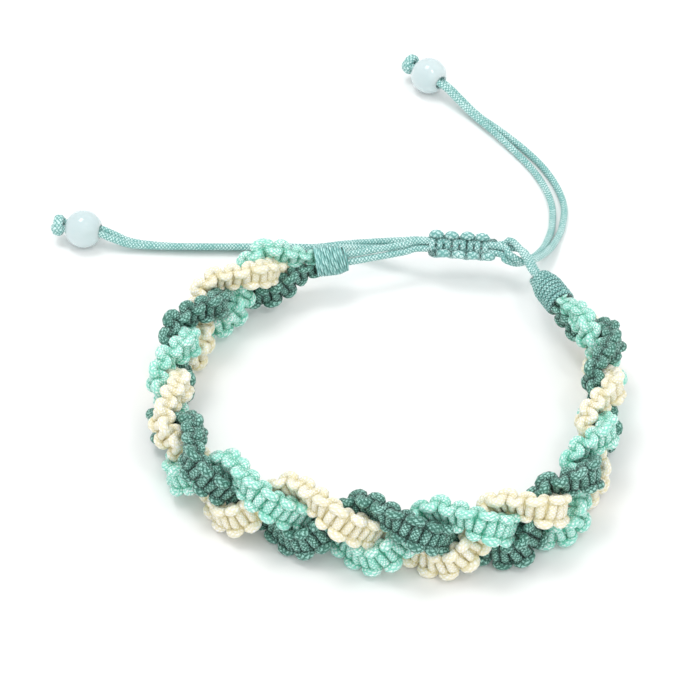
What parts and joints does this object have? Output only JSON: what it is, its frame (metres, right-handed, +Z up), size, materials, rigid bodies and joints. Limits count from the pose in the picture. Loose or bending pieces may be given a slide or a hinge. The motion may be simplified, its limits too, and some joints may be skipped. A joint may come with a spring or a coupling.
{
  "type": "woven bracelet",
  "caption": "Plaited band of knotted cord strands, closed by tie cords that slide through a knot and end in beads.",
  "frame": {"origin": "on the surface, under the middle of the bracelet without its free cords and beads", "axes": "+Z up along the wrist, -Y towards the front of the plaited band, +X to its right"},
  "size_m": [0.0888, 0.1155, 0.0132],
  "materials": {
    "dark_cord": "satin woven nylon cord, dark teal",
    "mint_cord": "satin woven nylon cord, mint",
    "cream_cord": "satin woven nylon cord, cream",
    "teal_cord": "satin woven nylon cord, soft teal",
    "milk_bead": "polished, milky and slightly clear"
  },
  "bodies": {
    "root": {"braid_strand_dark": "dark_cord", "braid_strand_mint": "mint_cord", "braid_strand_cream": "cream_cord", "end_wrap_left": "teal_cord", "end_wrap_right": "dark_cord", "sliding_knot": "teal_cord", "tie_cord_left_a": "teal_cord", "tie_cord_left_b": "teal_cord", "tie_cord_right_a": "teal_cord", "tie_cord_right_b": "teal_cord", "bead_upper": "milk_bead", "bead_left": "milk_bead", "end_knot_upper": "teal_cord", "end_knot_left": "teal_cord"}
  },
  "joints": []
}
